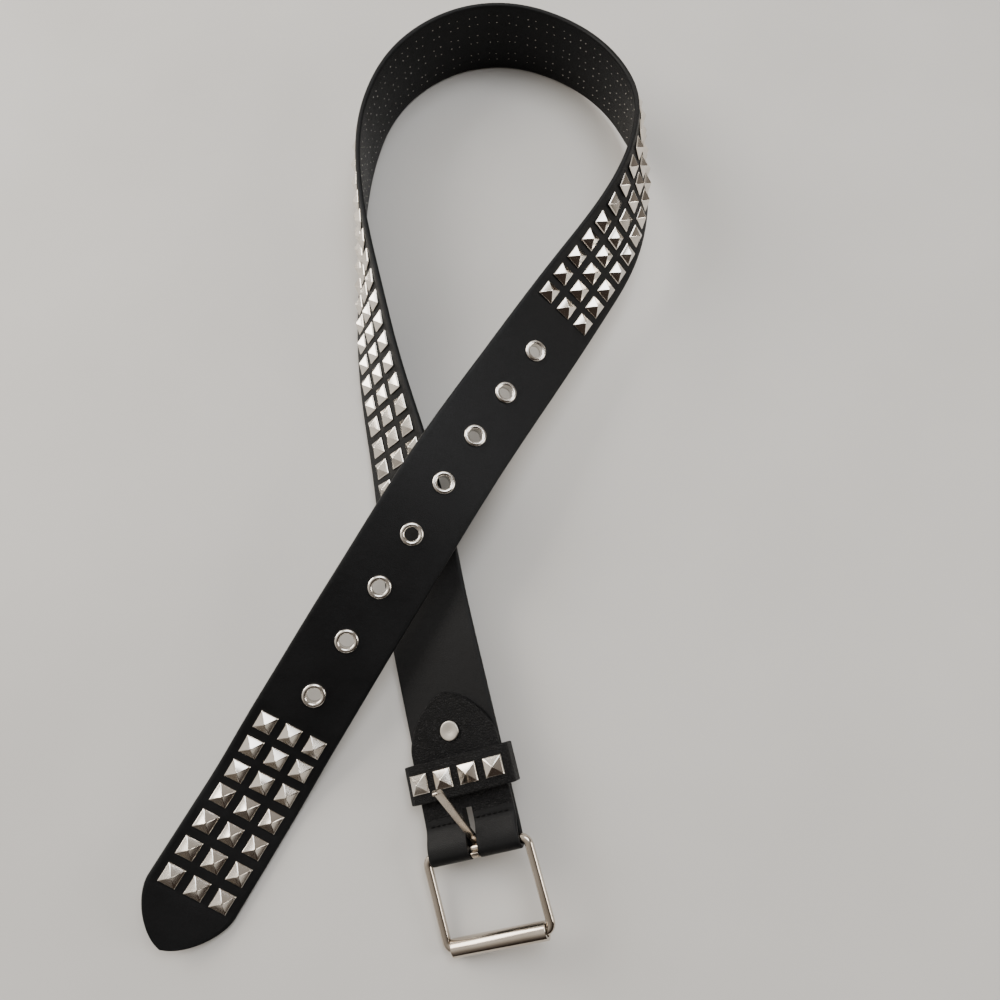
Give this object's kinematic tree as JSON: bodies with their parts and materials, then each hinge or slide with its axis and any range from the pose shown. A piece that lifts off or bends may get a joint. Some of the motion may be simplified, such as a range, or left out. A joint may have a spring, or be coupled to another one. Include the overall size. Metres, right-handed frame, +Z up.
{
  "type": "studded belt",
  "caption": "Black leather waist belt with columns of pyramid studs, metal eyelets, a keeper loop and a roller buckle, laid in an open loop with its tongue crossed over.",
  "frame": {"origin": "on the table under the middle of the laid belt's bounding box", "axes": "+Z up from the table, +Y from the buckle end towards the top of the loop, +X to the right when seen from above with the buckle nearest"},
  "size_m": [0.2204, 0.4528, 0.05],
  "materials": {
    "strap_leather": "satin black with a fine smooth grain",
    "keeper_leather": "satin black with a pebbled grain",
    "stud_metal": "bright nickel plate",
    "eyelet_metal": "bright nickel plate, finely worn",
    "buckle_metal": "warm polished steel with fine drawn streaks"
  },
  "bodies": {
    "belt": {"studded_strap": "strap_leather", "keeper_loop": "keeper_leather", "rivet": "eyelet_metal", "eyelet_1": "eyelet_metal", "eyelet_2": "eyelet_metal", "eyelet_3": "eyelet_metal", "eyelet_4": "eyelet_metal", "eyelet_5": "eyelet_metal", "eyelet_6": "eyelet_metal", "eyelet_7": "eyelet_metal", "eyelet_8": "eyelet_metal", "tip_stud_1_1": "stud_metal", "tip_stud_1_2": "stud_metal", "tip_stud_1_3": "stud_metal", "tip_stud_2_1": "stud_metal", "tip_stud_2_2": "stud_metal", "tip_stud_2_3": "stud_metal", "tip_stud_3_1": "stud_metal", "tip_stud_3_2": "stud_metal", "tip_stud_3_3": "stud_metal", "tip_stud_4_1": "stud_metal", "tip_stud_4_2": "stud_metal", "tip_stud_4_3": "stud_metal", "tip_stud_5_1": "stud_metal", "tip_stud_5_2": "stud_metal", "tip_stud_5_3": "stud_metal", "tip_stud_6_1": "stud_metal", "tip_stud_6_2": "stud_metal", "tip_stud_6_3": "stud_metal", "tip_stud_7_1": "stud_metal", "tip_stud_7_2": "stud_metal", "tip_stud_7_3": "stud_metal", "keeper_stud_1": "stud_metal", "keeper_stud_2": "stud_metal", "keeper_stud_3": "stud_metal", "keeper_stud_4": "stud_metal"},
    "frame": {"buckle_frame": "buckle_metal"},
    "roller": {"roller": "buckle_metal"},
    "prong": {"prong": "buckle_metal"}
  },
  "joints": [
    {"name": "frame_hinge", "type": "hinge", "parent": "belt", "child": "frame", "pos_m": [0.01801, -0.18683, 0.01303], "axis": [-0.9267, -0.2139, -0.309], "range_deg": [0, 18]},
    {"name": "prong_hinge", "type": "hinge", "parent": "frame", "child": "prong", "pos_m": [0.01801, -0.18683, 0.01303], "axis": [0.9267, 0.2139, 0.309], "range_deg": [-7, 131]},
    {"name": "roller_spin", "type": "hinge", "parent": "frame", "child": "roller", "pos_m": [0.02666, -0.21898, 0.00933], "axis": [0.9267, 0.2139, 0.309], "continuous": true}
  ]
}
